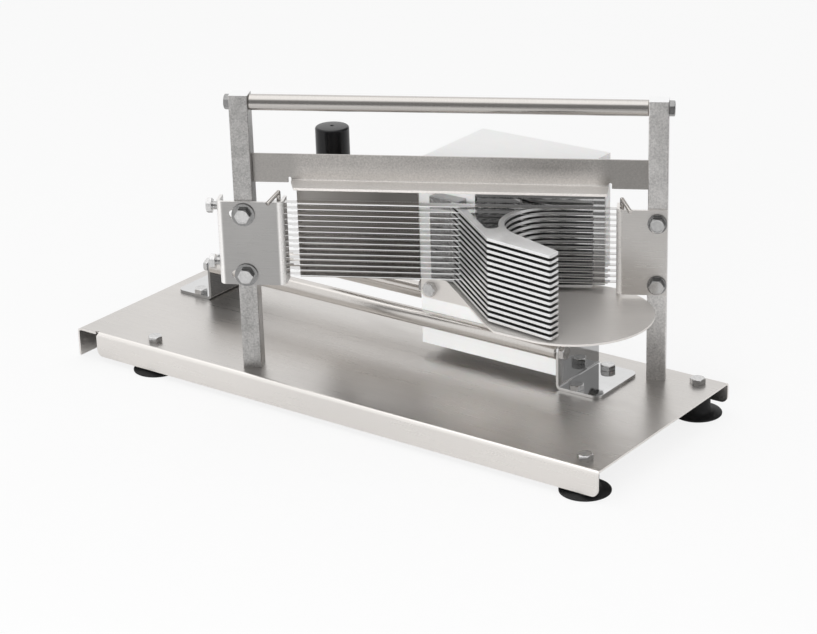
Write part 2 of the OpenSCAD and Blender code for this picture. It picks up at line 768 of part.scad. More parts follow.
// one fin of the comb in plan
module fin_plan() {
  arm_start = apex - arm_l * arm_dir;
  turn_a = 90 + rear_slant;
  turn_b = 270 - front_slant;
  turn_m = (turn_a + turn_b) / 2;
  prong_end = rear_touch + prong_l * rear_dir;
  wall_out = pocket_r + pocket_wall;
  polygon([arm_start, apex, apex + arm_w * arm_side, arm_start + arm_w * arm_side]);
  polygon([rear_touch, prong_end, prong_end + pocket_wall * rear_out, rear_touch + pocket_wall * rear_out]);
  intersection() {
    difference() {
      translate(pocket) circle(wall_out);
      translate(pocket) circle(pocket_r);
    }
    polygon([pocket, pocket + far * [cos(turn_a), sin(turn_a)], pocket + far * [cos(turn_m), sin(turn_m)],
      pocket + far * [cos(turn_b), sin(turn_b)]]);
  }
  difference() {
    polygon([apex, [tip_x, tip_y], tip_in, front_touch, pocket + wall_out * [cos(turn_b), sin(turn_b)],
      notch + (notch_r + 2) * arm_side, notch - (notch_r + 2) * arm_side]);
    translate(notch) circle(notch_r);
  }
}

module pusher_comb() color([0.85, 0.85, 0.85]) on_base() difference() {
  union() {
    for (z = fin_zs) translate([0, 0, z]) linear_extrude(fin_t) fin_plan();
    translate([root_x, root_y, root_z]) cube([root_l, root_d, root_h]);
  }
  for (z = comb_bolts) translate([comb_bolt_x, block_y, z]) rotate([90, 0, 0])
    cylinder(h = 2 * comb_bite + 2, d = screw_d + thread_clear, center = true);
}

module comb_bolts_set() color([0.72, 0.72, 0.72]) on_base() for (z = comb_bolts)
  translate([comb_bolt_x, block_y + cover_wall, z]) rotate([-90, 0, 0]) small_bolt(cover_wall + comb_bite);

module tray_plan() {
  corner = tray_edge + arm_dir * (tray_edge[1] - tray_front - 9) / sin(arm_angle);
  translate([tray_x, tray_y]) circle(tray_r, $fn = 96);
  polygon([[tray_x0, tray_lip_y], tray_edge_back, corner, corner + [15, -9], [tray_x, tray_front],
    [tray_x, tray_y + tray_r], [block_x + block_l, block_y + block_w], [tray_x0, block_y + block_w]]);
}

module tray() color([0.77, 0.77, 0.76]) on_base() difference() {
  union() {
    translate([0, 0, block_top]) linear_extrude(tray_t) tray_plan();
    translate([tray_x0 + tray_lip_l / 2, block_y, tray_top]) rotate([-90, 0, 0]) translate([0, 0, -tray_t])
      linear_extrude(tray_t) tab(tray_lip_l, tray_lip, 6);
  }
  for (x = tray_bolts) translate([x, block_y, tray_bolt_z]) rotate([90, 0, 0])
    cylinder(h = 3 * tray_t, d = bolt_d + hole_clear, center = true);
  for (p = cover_bolts) translate([p[0], p[1], block_top - 1])
    cylinder(h = tray_t + 2, d = screw_d + hole_clear);
}

module tray_bolts_set() color([0.72, 0.72, 0.72]) on_base() for (x = tray_bolts)
  translate([x, tray_lip_y, tray_bolt_z]) rotate([90, 0, 0]) big_bolt(tray_t + bolt_bite);

// Handle and guard

module handle_arm() color([0.76, 0.76, 0.75]) on_base() difference() {
  union() {
    translate([grip_x, grip_y - handle_w / 2, handle_z - handle_t])
      cube([block_x - grip_x, handle_w, handle_t]);
    translate([grip_x, grip_y, handle_z - handle_t]) cylinder(h = handle_t, d = handle_w);
    translate([block_x, grip_y, handle_z - handle_t / 2]) rotate([-90, 0, 90]) linear_extrude(handle_t)
      tab(handle_w, handle_flange - handle_t / 2, 5);
  }
  translate([grip_x, grip_y, handle_z - 2 * handle_t]) cylinder(h = 3 * handle_t, d = bolt_d + hole_clear);
  for (y = handle_bolts) translate([block_x, y, handle_bolt_z]) rotate([0, 90, 0])
    cylinder(h = 3 * handle_t, d = bolt_d + hole_clear, center = true);
}

module handle_bolts_set() color([0.72, 0.72, 0.72]) on_base() for (y = handle_bolts)
  translate([block_x - handle_t, y, handle_bolt_z]) rotate([0, -90, 0]) big_bolt(handle_t + bolt_bite);

module grip() color([0.07, 0.07, 0.08]) on_base() translate([grip_x, grip_y, handle_z]) difference() {
  rim = 4;
  union() {
    cylinder(h = grip_h - rim, d = grip_d);
    cylinder(h = grip_h, d = grip_d - 2 * rim);
    translate([0, 0, grip_h - rim]) rotate_extrude() translate([grip_d / 2 - rim, 0]) circle(rim);
  }
  translate([0, 0, grip_h + 3]) sphere(5);
  translate([0, 0, -1]) cylinder(h = grip_bite + 4, d = bolt_d + thread_clear);
}

module grip_bolt() color([0.72, 0.72, 0.72]) on_base() translate([grip_x, grip_y, handle_z - handle_t])
  rotate([180, 0, 0]) big_bolt(handle_t + grip_bite);

module hand_guard() color([0.68, 0.68, 0.67]) on_base() difference() {
  union() {
    translate([0, 0, guard_z]) linear_extrude(guard_top - guard_z) difference() {
      translate([frame_x, 0]) rotate(blade_angle) translate([-guard_l - guard_over, guard_back])
        square([guard_l + guard_over, guard_t]);
      translate([block_x, -far]) square(2 * far);
    }
    translate([block_x - guard_t, block_y - 1, tray_top + sheet_lift])
      cube([guard_t, guard_flange, guard_top - tray_top - sheet_lift]);
  }
  for (z = guard_bolts) translate([block_x, guard_bolt_y, z]) rotate([0, 90, 0])
    cylinder(h = 3 * guard_t, d = screw_d + hole_clear, center = true);
}

module guard_bolts_set() color([0.72, 0.72, 0.72]) on_base() for (z = guard_bolts)
  translate([block_x - guard_t, guard_bolt_y, z]) rotate([0, -90, 0]) small_bolt(guard_t + cover_wall);

base_plate();
foot_front_left();
foot_rear_left();
foot_front_right();
foot_rear_right();
foot_bolts();
post_left();
post_right();
post_bolts();
top_rod();
top_rod_bolts();
cross_plate();
blade_01();
blade_02();
blade_03();
blade_04();
blade_05();
blade_06();
blade_07();
blade_08();
blade_09();
blade_10();
blade_11();
blade_12();
blade_13();
blade_14();
blade_pin_left();
blade_pin_right();
holder_left();
holder_right();
holder_washers();
holder_bolts_left();
holder_bolts_right();
tension_bolts();
bracket_left_plate();
bracket_right_plate();
bracket_bolts_set();
bracket_nuts();
guide_rod_front();
guide_rod_rear();
rod_end_bolts();
carriage_block();
carriage_cover();
cover_bolts_set();
back_sheet();
pusher_comb();
comb_bolts_set();
tray();
tray_bolts_set();
handle_arm();
handle_bolts_set();
grip();
grip_bolt();
hand_guard();
guard_bolts_set();
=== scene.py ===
import math

import bmesh
import bpy
from mathutils import Matrix, Vector


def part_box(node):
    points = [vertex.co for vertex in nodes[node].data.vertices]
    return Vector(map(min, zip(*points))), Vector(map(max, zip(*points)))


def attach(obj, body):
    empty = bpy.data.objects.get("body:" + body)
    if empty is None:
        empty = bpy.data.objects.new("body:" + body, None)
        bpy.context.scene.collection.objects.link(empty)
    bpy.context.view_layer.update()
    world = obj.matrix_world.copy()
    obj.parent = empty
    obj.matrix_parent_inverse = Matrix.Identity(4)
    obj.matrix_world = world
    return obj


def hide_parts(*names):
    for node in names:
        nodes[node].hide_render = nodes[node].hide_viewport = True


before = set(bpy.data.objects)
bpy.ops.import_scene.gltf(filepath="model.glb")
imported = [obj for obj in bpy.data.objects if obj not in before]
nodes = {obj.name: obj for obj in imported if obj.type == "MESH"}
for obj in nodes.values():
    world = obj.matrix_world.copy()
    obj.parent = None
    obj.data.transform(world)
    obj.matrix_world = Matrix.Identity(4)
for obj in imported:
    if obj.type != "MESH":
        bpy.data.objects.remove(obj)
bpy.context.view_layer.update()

# Sizes in millimetres, counted from the middle of the base's top face

BLADE_ANGLE = 28
FRAME_X = 73.5
POST_X = 192.7
POST_OUT = 201.7
HOLDER_FRONT = -12.0
WASHER_T = 1.6
BLADE_TOP = 167.4
BLADE_PITCH = 5.5
BLADE_COUNT = 14
BLADE_HALF = 147.5
TEETH = 106
TOOTH_STEP = 2.5
FIN_T = 3.0
ROOT_MIDDLE = Vector((61, 15.5, 126.15))
ROOT_SIZE = Vector((34, 13, 82))
SHELF_HALF = 147.5
CROSS_BOTTOM = 185.5
# Height at which the hand guard's painted reflection turns paler
GUARD_PAINTED_LIGHT_Z = 150.0
FEET = {"front_left": (-218, -98), "rear_left": (-218, 98),
        "front_right": (284, -98), "rear_right": (284, 98)}
FOOT_HEIGHT = 30.5
ROD_LEFT, ROD_RIGHT = -241.0, 181.0
ROD_YS = {"front": 20, "rear": 79}
ROD_Z = 36.3
ROD_D = 16.0
TOP_ROD_HALF = 183.7
TOP_ROD_Z = 262.7
TOP_ROD_D = 15.0
BRACKET_T = 3
GRIP_X, GRIP_Y, GRIP_Z = -101, 49.5, 80

# Bolts: width across flats, height of the head, diameter of the thread

BIG = (13.0, 5.3, 8.0)
SMALL = (10.0, 4.0, 6.0)

# Places and directions, in metres

base_low, base_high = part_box("base_plate")
blade_turn = math.radians(BLADE_ANGLE)
MM = Matrix.Scale(0.001, 4)
ON_BASE = Matrix.Translation((0, (base_low.y + base_high.y) / 2, base_high.z)) @ MM
ON_FRAME = ON_BASE @ Matrix.Translation((FRAME_X, 0, 0)) @ Matrix.Rotation(blade_turn, 4, "Z")
FRAME_ORIGIN = ON_FRAME.translation
FRAME_BACK = (-math.sin(blade_turn), math.cos(blade_turn), 0)
FRAME_RIGHT = (math.cos(blade_turn), math.sin(blade_turn), 0)
UP = (0, 0, 1)
FINS_TOP = ON_BASE @ Vector((0, 0, BLADE_TOP - BLADE_PITCH / 2 + FIN_T / 2))
ROOT = ON_BASE @ Vector((ROOT_MIDDLE.x + ROOT_SIZE.x / 2, ROOT_MIDDLE.y - ROOT_SIZE.y / 2, 0))
CROSS_LOW = ON_BASE @ Vector((0, 0, CROSS_BOTTOM))
GUARD_PAINTED_LIGHT = ON_BASE @ Vector((0, 0, GUARD_PAINTED_LIGHT_Z))


def moved(place, x, y, z):
    """A place shifted by millimetres."""
    return place @ Matrix.Translation((x, y, z))


# Shader expressions

class Value:
    """A shader socket that adds Math nodes when it is used in an expression."""

    def __init__(self, finish, socket):
        self.finish, self.socket = finish, socket

    def math(self, operation, other=0.0, swapped=False):
        pair = (other, self) if swapped else (self, other)
        return self.finish.node("ShaderNodeMath", {"operation": operation}, {0: pair[0], 1: pair[1]})

    def __add__(self, other): return self.math("ADD", other)
    def __radd__(self, other): return self.math("ADD", other, True)
    def __sub__(self, other): return self.math("SUBTRACT", other)
    def __rsub__(self, other): return self.math("SUBTRACT", other, True)
    def __mul__(self, other): return self.math("MULTIPLY", other)
    def __rmul__(self, other): return self.math("MULTIPLY", other, True)

    def between(self, low, high):
        """This value mapped from low..high to 0..1, held at both ends."""
        return self.finish.node("ShaderNodeMapRange", {"clamp": True},
                                {"Value": self, "From Min": low, "From Max": high})


class Shading:
    """The shader nodes of one tree."""

    def __init__(self, tree):
        self.tree = tree

    def node(self, kind, settings=None, inputs=None, out=0):
        made = self.tree.nodes.new(kind)
        for key, value in (settings or {}).items():
            setattr(made, key, value)
        for key, value in (inputs or {}).items():
            self.feed(made.inputs[key], value)
        return Value(self, made.outputs[out])

    def feed(self, socket, value):
        if isinstance(value, Value):
            self.tree.links.new(value.socket, socket)
        else:
            socket.default_value = value

    def dot(self, vector, axis):
        return self.node("ShaderNodeVectorMath", {"operation": "DOT_PRODUCT"},
                         {0: vector, 1: axis}, "Value")


class Finish(Shading):
    """A procedural material on the Principled shader."""

    def __init__(self, name, colour, roughness, metallic=0.0, **constants):
        self.material = bpy.data.materials.new(name)
        self.material.use_nodes = True
        super().__init__(self.material.node_tree)
        self.shader = self.tree.nodes["Principled BSDF"]
        self.material.diffuse_color = (*colour, 1)
        self.set("Base Color", (*colour, 1))
        self.set("Roughness", roughness)
        self.set("Metallic", metallic)
        for socket, value in constants.items():
            self.set(socket.replace("_", " "), value)
        self.place = self.node("ShaderNodeTexCoord", out="Object")

    def set(self, name, value):
        self.feed(self.shader.inputs[name], value)

    def along(self, axis, start):
        """Distance from a point along an axis, in metres."""
        return self.dot(self.place, axis) - Vector(axis).dot(start)

    def facing(self, axis):
        """How far the surface faces along an axis, either way."""
        return self.dot(self.node("ShaderNodeNewGeometry", out="Normal"), axis).math("ABSOLUTE")

    def mapped(self, scale, turn=0.0):
        """Object coordinates turned about the upright axis and then stretched."""
        turned = self.node("ShaderNodeMapping", None,
                           {"Vector": self.place, "Rotation": (0, 0, math.radians(-turn))})
        return self.node("ShaderNodeMapping", None, {"Vector": turned, "Scale": scale})

    def noise(self, scale, detail=3.0, roughness=0.55, where=None):
        return self.node("ShaderNodeTexNoise", None,
                         {"Vector": where or self.place, "Scale": scale, "Detail": detail,
                          "Roughness": roughness}, "Fac")

    def colour(self, factor, low, high):
        """A colour between low and high."""
        mix = self.node("ShaderNodeMix", {"data_type": "RGBA"}, {0: factor}, 2)
        made = mix.socket.node
        self.feed(made.inputs[6], low if isinstance(low, Value) else (*low, 1))
        self.feed(made.inputs[7], high if isinstance(high, Value) else (*high, 1))
        return mix

    def bump(self, height, strength, distance):
        sizes = {"Height": height, "Strength": strength, "Distance": distance}
        self.set("Normal", self.node("ShaderNodeBump", None, sizes, "Normal"))


def grey(level, warm=0.0):
    """A grey, leaning to red where it is warm."""
    return (level * (1 + warm), level, level * (1 - warm))


def brushed_sheet(name, low, high, turn, rough, grain, warm, metallic=1.0, flat=None, bend_highlight_matt=0.0):
    """Rolled stainless sheet brushed along one direction, with faint clouds and wiped smears.

    Where the direction of its flat side is given, the bends and side walls are painted pale,
    a painted highlight, and where asked they are made less metallic so that the pale shows lit.
    """
    f = Finish(name, grey(high, warm), rough, metallic)
    lines = f.noise(1.0, 4, 0.7, f.mapped((16, 900, 900), turn))
    fine = f.noise(1.0, 2, 0.6, f.mapped((60, 3200, 3200), turn))
    clouds = f.noise(9, 3, 0.5)
    smears = f.noise(1.0, 3, 0.6, f.mapped((10, 34, 30), turn)).between(0.52, 0.78)
    tone = (lines * 0.5 + fine * 0.25 + clouds * 0.5 - 0.18).between(0.15, 0.8)
    sheet = f.colour(tone, grey(low, warm), grey(high, warm))
    if flat:
        # Painted highlight: faces turned away from the flat side, the bends and side walls, are
        # painted pale grey
        level = f.facing(flat).between(0.93, 0.998)
        sheet = f.colour(level, grey(0.86, warm), sheet)
        # Less metal on the bends lets their painted pale colour show lit
        if bend_highlight_matt:
            f.set("Metallic", metallic - bend_highlight_matt + level * bend_highlight_matt)
    f.set("Base Color", sheet)
    f.set("Roughness", (lines - 0.5) * 0.22 + smears * 0.09 + rough)
    f.bump(lines * 0.7 + fine * 0.5, grain, 0.00006)
    return f.material


def cross_sheet_finish(name):
    """Cross plate: grey rolled sheet; its shelf is painted paler and less metallic, a painted
    highlight, the wall just above the shelf gets painted light reflected from it, and the plate beyond
    the shelf's ends is painted darker, a painted shade.
    """
    f = Finish(name, grey(0.5), 0.33, 1.0)
    lines = f.noise(1.0, 4, 0.7, f.mapped((22, 900, 700), BLADE_ANGLE))
    speckle = f.noise(620, 2, 0.6)
    clouds = f.noise(14, 3, 0.55)
    shelf = f.along(FRAME_BACK, FRAME_ORIGIN).between(-0.0018, -0.0032)
    shelf_end = SHELF_HALF * 0.001
    # Painted shade: the plate beyond the shelf's ends is painted darker
    beside = f.along(FRAME_RIGHT, FRAME_ORIGIN).math("ABSOLUTE").between(shelf_end - 0.012, shelf_end)
    # Painted reflection of the shelf: the wall's lowest strip above it is painted paler and less
    # metallic
    low = f.along(UP, CROSS_LOW).between(0.019, 0.004) * (1.0 - shelf) * (1.0 - beside)
    tone = (lines * 0.3 + speckle * 0.9 + clouds * 0.5 - 0.35).between(0.2, 0.8) * (1.0 - beside * 0.6)
    wall = f.colour(tone, grey(0.34, 0.045), grey(0.62, 0.045))
    pale = f.colour(tone, grey(0.58, 0.045), grey(0.74, 0.045))
    # The shelf takes the pale copy of the sheet, a painted highlight
    f.set("Base Color", f.colour(shelf + low * 0.7, wall, pale))
    f.set("Metallic", 1.0 - shelf * 0.85 - low * 0.5)
    f.set("Roughness", lines * 0.16 + speckle * 0.1 + shelf * 0.1 + 0.2)
    f.bump(lines + speckle * 0.6, 0.3, 0.00006)
    return f.material


def guard_finish(name):
    """Polished hand guard, painted dark and paler towards its upper and left edges, a painted
    reflection.
    """
    f = Finish(name, grey(0.3, 0.05), 0.16, 1.0)
    lines = f.noise(1.0, 4, 0.7, f.mapped((16, 900, 900), BLADE_ANGLE))
    clouds = f.noise(12, 3, 0.5)
    # Painted reflection: the guard's colour runs from dark to pale towards its upper and left edges
    upper = f.along(UP, GUARD_PAINTED_LIGHT).between(-0.008, 0.006)
    left = f.along(FRAME_RIGHT, FRAME_ORIGIN).between(-0.07, -0.15)
    soft_tone = upper * (left * 0.3 + 0.3) + left * 0.25 + (clouds - 0.5) * 0.2
    f.set("Base Color", f.colour(soft_tone, grey(0.14, 0.07), grey(0.74, 0.05)))
    f.set("Roughness", (lines - 0.5) * 0.12 + upper * 0.16 + 0.16)
    f.bump(lines, 0.05, 0.00006)
    return f.material


def blasted_bar(name, low, high, rough):
    """Bead-blasted stainless bar: a coarse sparkle over a mottled grey, its end faces painted near
    white, a painted highlight.
    """
    f = Finish(name, grey(high), rough, 1.0)
    beads = f.noise(520, 2, 0.6)
    grains = f.noise(1800, 1, 0.5)
    mottle = f.noise(90, 3, 0.6)
    tone = (beads * 0.9 + grains * 0.5 + mottle * 0.5 - 0.45).between(0.25, 0.75)
    side = f.colour(tone, grey(low, 0.02), grey(high, 0.02))
    # Painted highlight: faces pointing up or down are painted near white
    f.set("Base Color", f.colour(f.facing(UP).between(0.8, 0.98), side, grey(0.93)))
    f.set("Roughness", (beads - 0.5) * 0.3 + rough)
    f.bump(beads + grains * 0.5, 0.5, 0.00012)
    return f.material


def polished_sheet(name, level, rough, wave=0.0, upright=None):
    """Mirror-polished stainless with a soft hazy tone and hairline wipes, and waves where it is thin.

    Upright faces may be painted a darker grey of their own, a painted shade.
    """
    f = Finish(name, grey(level), rough, 1.0)
    soft_tone = f.noise(22, 3, 0.6)
    wipes = f.noise(1.0, 3, 0.7, f.mapped((900, 40, 60), 20))
    shade = f.colour(soft_tone.between(0.3, 0.7), grey(level * 0.9), grey(level))
    # Painted shade: upright faces get a darker grey than the rest
    if upright:
        wall = f.colour(soft_tone.between(0.3, 0.7), grey(upright * 0.7), grey(upright))
        shade = f.colour(f.facing(UP).between(0.3, 0.8), wall, shade)
    f.set("Base Color", shade)
    f.set("Roughness", soft_tone * 0.08 + wipes.between(0.55, 0.8) * 0.06 + rough)
    f.bump(wipes * 0.01 + f.noise(38, 1, 0.4) * wave, 0.15, 0.001)
    return f.material


def ground_rod(name, level, rough, turn):
    """Ground rod: fine rings round its length and a few long handling marks."""
    f = Finish(name, grey(level), rough, 1.0)
    rings = f.noise(1.0, 3, 0.7, f.mapped((2600, 20, 20), turn))
    marks = f.noise(1.0, 3, 0.6, f.mapped((12, 260, 260), turn)).between(0.6, 0.8)
    f.set("Base Color", f.colour(rings.between(0.2, 0.8), grey(level * 0.86, 0.05), grey(level, 0.04)))
    f.set("Roughness", rings * 0.12 + marks * 0.12 + rough)
    f.bump(rings, 0.12, 0.00004)
    return f.material


def blade_finish(name):
    """Polished blade steel with cross-ground scratches, a front edge painted near white, a painted
    highlight, and matt tooth tips.
    """
    f = Finish(name, grey(0.3), 0.14, 1.0)
    scratches = f.noise(1.0, 3, 0.7, f.mapped((1500, 60, 200), BLADE_ANGLE))
    stain = f.noise(30, 3, 0.6)
    back = f.along(FRAME_BACK, FRAME_ORIGIN)
    edge = back.between(-0.0078, -0.0083)
    teeth = back.between(0.0011, 0.0018)
    face = f.colour(scratches * 0.6 + stain * 0.5, (0.58, 0.572, 0.566), (0.74, 0.732, 0.726))
    # The front edge band is painted near white, a painted highlight; the tooth tips are paler and matt
    f.set("Base Color", f.colour(edge + teeth * 0.7, face, grey(0.96)))
    f.set("Metallic", 1.0 - teeth * 0.75)
    f.set("Roughness", scratches * 0.06 + stain * 0.04 + teeth * 0.3 + 0.03)
    f.bump(scratches, 0.06, 0.00004)
    return f.material


def comb_finish(name):
    """Satin aluminium plate with mill lines and light rub marks, with painted shade on the faces
    between the fins.
    """
    f = Finish(name, grey(0.86), 0.36, 0.8)
    mill = f.noise(1.0, 3, 0.7, f.mapped((60, 900, 300), -37))
    rub = f.noise(45, 4, 0.6)
    # Painted shade: the flat faces between the fins, below the top one, are painted near black
    inner = f.facing(UP).between(0.6, 0.9) * f.along(UP, FINS_TOP).between(-0.0004, -0.0009)
    behind = f.along((0, 1, 0), ROOT).between(-0.0004, -0.0001)
    root = behind * f.along((1, 0, 0), ROOT).between(0.004, 0.0)
    tone = (mill * 0.6 + rub * 0.7 - 0.15).between(0.2, 0.8)
    plate = f.colour(tone, grey(0.78), grey(0.95))
    shade = f.colour(inner * 0.85, plate, (0.05, 0.048, 0.046))
    f.set("Base Color", f.colour(root, shade, grey(0.4)))
    f.set("Metallic", root * 0.2 + 0.8)
    f.set("Roughness", (mill * 0.14 + rub.between(0.5, 0.8) * 0.12 + 0.27) * (1.0 - root * 0.85))
    f.bump(mill * 0.1 + rub * 0.03 + root * f.noise(150, 1, 0.4) * 2.4, 0.16, 0.0008)
    return f.material


def white_block(name):
    """Machined white polyethylene: waxy, with faint cutter lines and scuffs."""
    f = Finish(name, (0.85, 0.85, 0.84), 0.42, 0.0,
               Subsurface_Weight=0.08, Subsurface_Scale=0.004, Specular_IOR_Level=0.4)
    cutter = f.noise(1.0, 2, 0.6, f.mapped((30, 420, 420)))
    wax = f.noise(26, 4, 0.55)
    scuff = f.noise(1.0, 5, 0.7, f.mapped((70, 160, 120), 30)).between(0.62, 0.8)
    tone = (wax * 0.6 + cutter * 0.3 + 0.1).between(0.2, 0.8) - scuff * 0.25
    f.set("Base Color", f.colour(tone, (0.86, 0.858, 0.85), (0.92, 0.92, 0.915)))
    f.set("Roughness", cutter * 0.1 + scuff * 0.12 + 0.36)
    f.bump(cutter * 0.6 + wax * 0.4 - scuff * 0.6, 0.12, 0.0002)
    return f.material


def black_moulding(name):
    """Black moulded plastic with a fine spark texture and a handled sheen."""
    f = Finish(name, (0.018, 0.018, 0.02), 0.34, 0.0, Specular_IOR_Level=0.36)
    spark = f.noise(1500, 2, 0.6)
    handled = f.noise(28, 3, 0.6)
    tone = handled.between(0.3, 0.7)
    f.set("Base Color", f.colour(tone, (0.002, 0.002, 0.0026), (0.005, 0.005, 0.006)))
    f.set("Roughness", spark * 0.1 + handled * 0.12 + 0.1)
    f.bump(spark, 0.1, 0.0001)
    return f.material


def cup_rubber(name):
    """Black suction-cup rubber, dull, with a grey bloom."""
    f = Finish(name, (0.02, 0.02, 0.021), 0.6, 0.0, Specular_IOR_Level=0.35)
    bloom = f.noise(60, 4, 0.6)
    skin = f.noise(900, 2, 0.6)
    tone = bloom.between(0.45, 0.8)
    f.set("Base Color", f.colour(tone, (0.006, 0.006, 0.0065), (0.022, 0.022, 0.022)))
    f.set("Roughness", bloom * 0.2 + skin * 0.1 + 0.4)
    f.bump(skin + bloom * 0.4, 0.2, 0.00015)
    return f.material


def bolt_steel(name, low, high):
    """Plain stainless fastener: forged mottle and spanner rubs."""
    f = Finish(name, grey(high), 0.22, 1.0)
    forged = f.noise(320, 3, 0.6)
    rubs = f.noise(1.0, 4, 0.7, f.mapped((900, 300, 120), 15))
    tone = (forged * 0.7 + rubs * 0.5 - 0.1).between(0.2, 0.8)
    f.set("Base Color", f.colour(tone, grey(low), grey(high, 0.01)))
    f.set("Roughness", forged * 0.14 + rubs.between(0.5, 0.8) * 0.12 + 0.1)
    f.bump(forged + rubs * 0.5, 0.14, 0.00012)
    return f.material


base_steel = brushed_sheet("base_brushed_steel", 0.55, 0.7, 0, 0.3, 0.3, 0.038, 1.0, UP)
# Lit and shaded copies of one holder steel: the left is painted darker, a painted shade, the right
# paler, a painted light
left_holder_shaded_steel = brushed_sheet("left_holder_shaded_steel", 0.36, 0.5, BLADE_ANGLE, 0.3, 0.3, 0.02,
                                  1.0, FRAME_BACK, 0.5)
right_holder_lit_steel = brushed_sheet("right_holder_lit_steel", 0.6, 0.78, BLADE_ANGLE, 0.3, 0.3, 0.035,
                                   1.0, FRAME_BACK, 0.5)
guard_steel = guard_finish("guard_sheet_steel")
cross_steel = cross_sheet_finish("cross_plate_steel")
tray_steel = brushed_sheet("tray_steel", 0.68, 0.84, 35, 0.4, 0.25, 0.04, 0.55)
# Lit and shaded copies of one blasted steel: the left post is painted darker, a painted shade, the
# right paler, a painted light
left_post_shaded_steel = blasted_bar("left_post_blasted_steel", 0.32, 0.62, 0.36)
right_post_lit_steel = blasted_bar("right_post_blasted_steel", 0.58, 0.92, 0.36)
bracket_steel = polished_sheet("bracket_polished_steel", 0.74, 0.03)
# The left bracket's upright faces are painted darker, a painted shade
left_bracket_shaded_steel = polished_sheet("left_bracket_polished_steel", 0.74, 0.03, 0.0, 0.4)
back_steel = polished_sheet("back_sheet_polished_steel", 0.74, 0.03, 0.5)
rod_steel = ground_rod("guide_rod_steel", 0.68, 0.16, 0)
top_rod_steel = ground_rod("top_rod_steel", 0.58, 0.16, BLADE_ANGLE)
blade_steel = blade_finish("blade_steel_finish")
comb_metal = comb_finish("comb_satin_aluminium")
white_plastic = white_block("white_polyethylene")
grip_plastic = black_moulding("grip_black_plastic")
foot_rubber = cup_rubber("foot_rubber_finish")
fastener = bolt_steel("fastener_stainless", 0.46, 0.78)
# A darker copy of the fastener steel for the washers and the top bar's bolts, a painted shade
shaded_fastener_steel = bolt_steel("washer_stainless", 0.2, 0.36)


# Mesh helpers

def to_mesh(bm, name):
    """A mesh made from a finished bmesh."""
    mesh = bpy.data.meshes.new(name)
    bm.to_mesh(mesh)
    bm.free()
    return mesh


def piece(name, mesh, place, body, material, replaced, crease=35):
    """Puts a mesh in its place and hangs it on a body instead of the CAD nodes it stands for."""
    mesh.transform(place)
    mesh.polygons.foreach_set("use_smooth", [True] * len(mesh.polygons))
    mesh.set_sharp_from_angle(angle=math.radians(crease))
    mesh.materials.clear()
    mesh.materials.append(material)
    made = bpy.data.objects.new(name, evened(mesh))
    bpy.context.scene.collection.objects.link(made)
    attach(made, body)
    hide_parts(*replaced)
    return made


def carried(mesh, kind):
    """A carrier object for a mesh, and the one modifier on it."""
    carrier = bpy.data.objects.new("carrier", mesh)
    bpy.context.scene.collection.objects.link(carrier)
    return carrier, carrier.modifiers.new("change", kind)


def applied(carrier):
    """The plain mesh that a carrier's modifier makes."""
    graph = bpy.context.evaluated_depsgraph_get()
    made = bpy.data.meshes.new_from_object(carrier.evaluated_get(graph))
    bpy.data.objects.remove(carrier)
    return made


def evened(mesh):
    """The mesh with normals weighted by face area, so that sheet stays flat beside its bends."""
    carrier, even = carried(mesh, "WEIGHTED_NORMAL")
    even.mode, even.keep_sharp = "FACE_AREA", True
    return applied(carrier)


def baked(base, tree, **sizes):
    """The plain mesh that a Geometry Nodes tree makes from a base mesh."""
    carrier, rule = carried(base, "NODES")
    rule.node_group = tree
    named = {i.name: i.identifier for i in tree.interface.items_tree if i.in_out == "INPUT"}
    for key, value in sizes.items():
        rule[named[key.replace("_", " ")]] = value
    return applied(carrier)


class Rule:
    """A Geometry Nodes tree with named inputs."""

    def __init__(self, name, **inputs):
        self.tree = bpy.data.node_groups.new(name, "GeometryNodeTree")
        face = self.tree.interface
        face.new_socket("Geometry", in_out="INPUT", socket_type="NodeSocketGeometry")
        for key, kind in inputs.items():
            face.new_socket(key.replace("_", " "), in_out="INPUT", socket_type="NodeSocket" + kind)
        face.new_socket("Geometry", in_out="OUTPUT", socket_type="NodeSocketGeometry")
        self.source = self.tree.nodes.new("NodeGroupInput")
        self.end = self.tree.nodes.new("NodeGroupOutput")

    def given(self, name):
        return self.source.outputs[name.replace("_", " ")]

    def node(self, kind, settings=None, inputs=None, out=0):
        made = self.tree.nodes.new(kind)
        for key, value in (settings or {}).items():
            setattr(made, key, value)
        for key, value in (inputs or {}).items():
            for one in value if isinstance(value, list) else [value]:
                if isinstance(one, bpy.types.NodeSocket):
                    self.tree.links.new(one, made.inputs[key])
                else:
                    made.inputs[key].default_value = one
        return made.outputs[out]

    def row(self, count, step, start=(0, 0, 0)):
        """Points in a row."""
        return self.node("GeometryNodeMeshLine", {"mode": "OFFSET"},
                         {"Count": count, "Start Location": start, "Offset": step})

    def copies(self, points, instance, turn=(0, 0, 0)):
        """A copy of a shape at each point."""
        return self.node("GeometryNodeInstanceOnPoints", None,
                         {"Points": points, "Instance": instance, "Rotation": turn})

    def finish(self, geometry, material):
        """Ends the tree with plain geometry in one material."""
        solid = self.node("GeometryNodeRealizeInstances", None, {"Geometry": geometry})
        dressed = self.node("GeometryNodeSetMaterial", None,
                            {"Geometry": solid, "Material": material})
        self.tree.links.new(dressed, self.end.inputs["Geometry"])
        return self.tree


def stack_rule():
    """Copies of the base mesh in a row."""
    rule = Rule("stack_of_copies", Count="Int", Step="Vector", Finish="Material")
    row = rule.row(rule.given("Count"), rule.given("Step"))
    return rule.finish(rule.copies(row, rule.given("Geometry")), rule.given("Finish"))


